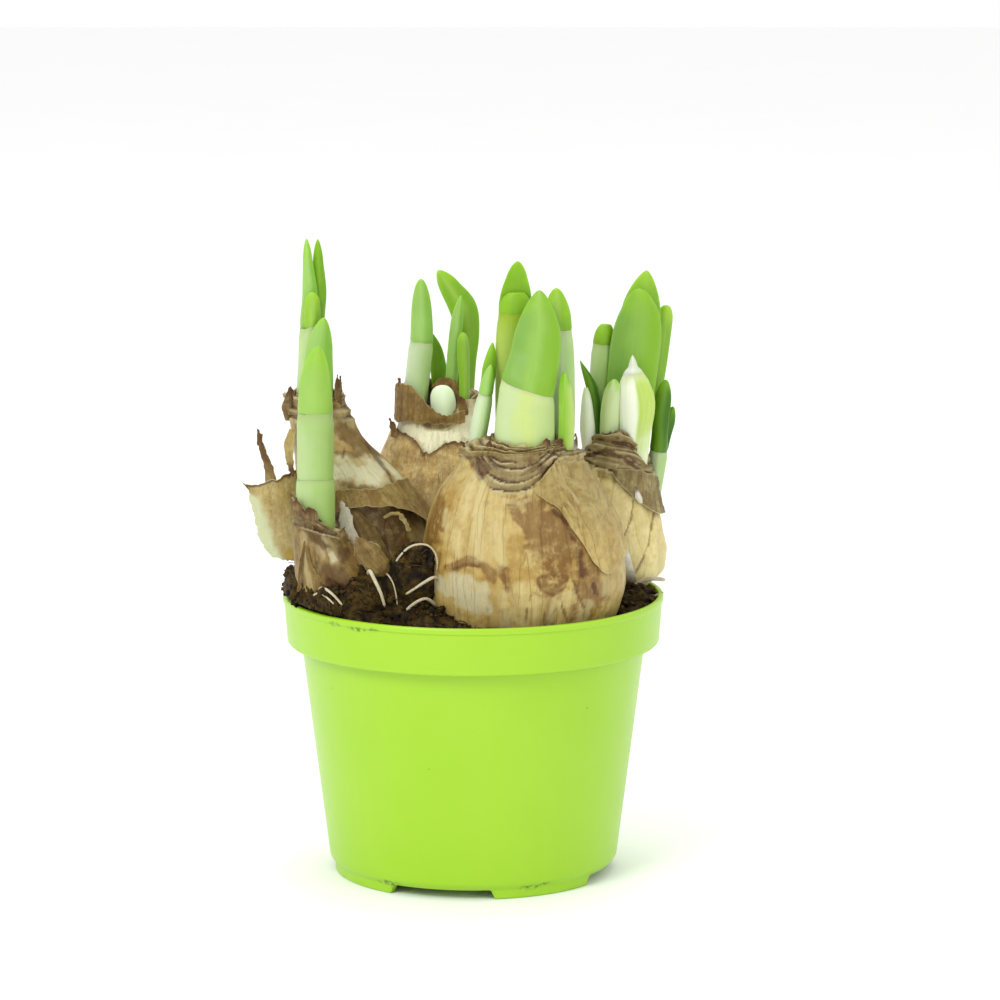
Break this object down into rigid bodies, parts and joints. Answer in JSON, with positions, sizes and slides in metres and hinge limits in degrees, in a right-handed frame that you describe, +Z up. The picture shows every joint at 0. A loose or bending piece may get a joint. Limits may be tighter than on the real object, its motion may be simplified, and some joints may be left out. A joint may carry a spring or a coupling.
{
  "type": "potted daffodil bulbs in early growth",
  "caption": "Nursery pot of soil with sprouting daffodil bulbs: rooted bulbs with papery skins, pale sheaths and short strap leaves.",
  "frame": {"origin": "middle of the pot's flat standing face", "axes": "+Z up along the pot's axis and the shoots, -Y towards the front, +X to the right as seen from the front"},
  "size_m": [0.1366, 0.12, 0.1999],
  "materials": {
    "pot": "smooth injection-moulded lime-green plastic, satin",
    "soil": "moist dark peat with coarse fibres and crumbs",
    "bulb": "dry golden-tan bulb skin with darker lines and blotches",
    "papery_skin": "dry brown papery outer skin with torn edges",
    "root": "fleshy cream-white roots",
    "leaf": "smooth waxy yellow-green leaf, a little translucent",
    "sheath": "pale translucent green sheath",
    "white_scale": "fleshy white to cream scale"
  },
  "bodies": {
    "root": {"front_sheath_main": "sheath", "front_leaf_main": "leaf", "front_sheath_back_left": "sheath", "front_leaf_back_left": "leaf", "front_leaf_back_left_inner": "leaf", "front_sheath_back_right": "sheath", "front_leaf_back_right": "leaf", "front_leaf_right": "leaf", "front_sheath_left": "sheath", "front_leaf_left_back": "leaf", "front_leaf_left_front": "leaf", "right_sheath_bud": "white_scale", "right_flower_bud": "white_scale", "right_leaf_front": "leaf", "right_leaf_main": "leaf", "right_sheath_left": "sheath", "right_leaf_left": "leaf", "right_leaf_back": "leaf", "right_leaf_back_right": "leaf", "right_sheath_slim": "sheath", "right_leaf_slim": "leaf", "right_sheath_side": "sheath", "right_leaf_side_front": "leaf", "right_leaf_side_back": "leaf", "back_sheath": "sheath", "back_leaf_main": "leaf", "back_leaf_slim": "leaf", "back_leaf_short": "leaf", "back_leaf_bent": "leaf", "back_leaf_low": "leaf", "back_scale_white": "white_scale", "left_sheath": "sheath", "left_leaf_front": "leaf", "left_leaf_short": "leaf", "left_leaf_tall_left": "leaf", "left_leaf_tall_right": "leaf", "small_sheath_outer": "sheath", "small_sheath_inner": "sheath", "small_leaf_front": "leaf", "small_leaf_back": "leaf", "bulb_front": "bulb", "bulb_right": "bulb", "bulb_back": "bulb", "bulb_left": "bulb", "bulb_small": "bulb", "roots_front": "root", "roots_right": "root", "roots_back": "root", "roots_left": "root", "roots_small": "root", "skin_front_shoulder": "papery_skin", "skin_right_flap": "papery_skin", "skin_back_neck": "papery_skin", "skin_back_body": "papery_skin", "skin_left_lower": "papery_skin", "skin_left_flap": "papery_skin", "skin_small_scale": "papery_skin", "skin_small_flap": "white_scale", "pot": "pot", "soil": "soil"}
  },
  "joints": []
}
